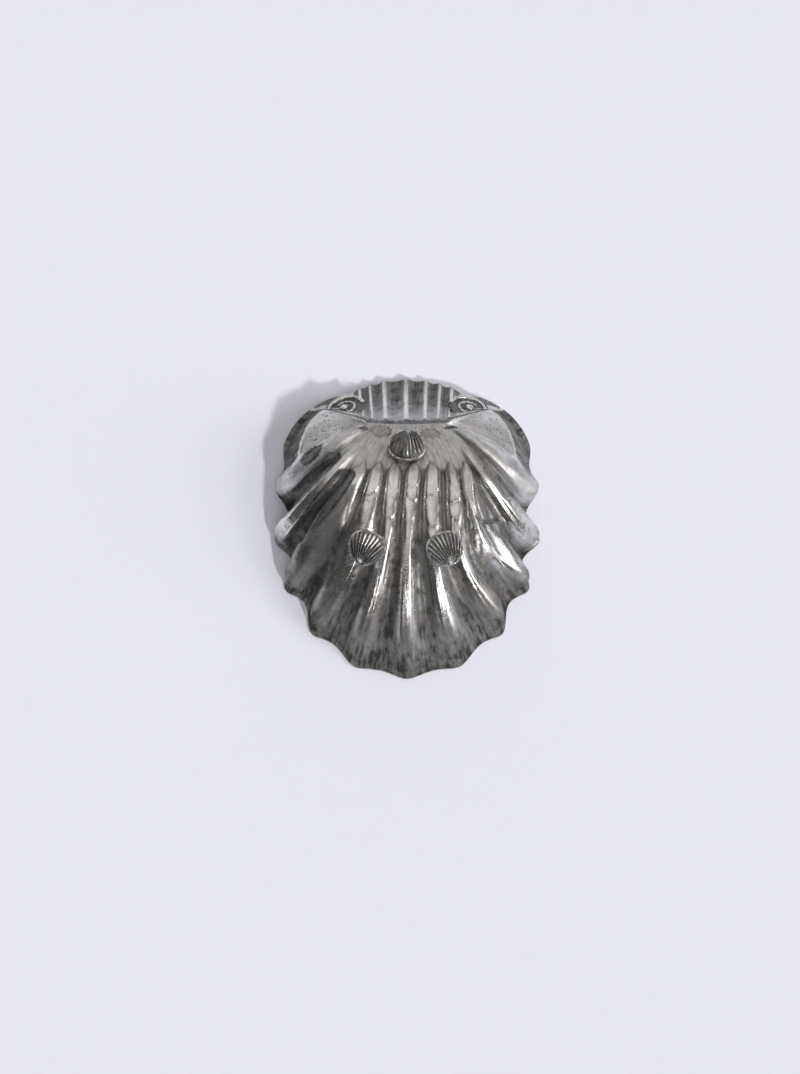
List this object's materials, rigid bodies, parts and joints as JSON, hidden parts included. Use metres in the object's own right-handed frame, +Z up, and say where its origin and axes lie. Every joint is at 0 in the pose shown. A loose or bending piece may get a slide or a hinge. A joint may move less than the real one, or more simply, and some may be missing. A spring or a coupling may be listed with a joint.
{
  "type": "shell dish",
  "caption": "Scallop-shaped metal dish with a ribbed bowl, smooth shoulders, a fluted crest with a scroll at each end, and closed-scallop feet.",
  "frame": {"origin": "on the ground below the middle of the dish's outline", "axes": "+Z up, out of the hollow, with the dish standing on its feet; +Y towards the fluted crest; -Y towards the pouring rim; +X towards the side that lies on the left of the picture, where the dish is face down"},
  "size_m": [0.1498, 0.1784, 0.0486],
  "materials": {
    "raised_silver": "hammered and chased silver, polished on the ribs, satin and pitted on the shoulders, grey tarnish in the hollows",
    "crest_silver": "chased silver with dark tarnish in the flutes and bright worn ridges",
    "cast_silver": "cast silver with black tarnish between fine ribs and bright worn tops"
  },
  "bodies": {
    "root": {"shell_bowl": "raised_silver", "back_crest": "crest_silver", "scroll_right": "crest_silver", "scroll_left": "crest_silver", "front_right_foot_shell": "cast_silver", "front_right_foot_plinth": "cast_silver", "front_left_foot_shell": "cast_silver", "front_left_foot_plinth": "cast_silver", "rear_foot_shell": "cast_silver", "rear_foot_plinth": "cast_silver"}
  },
  "joints": []
}
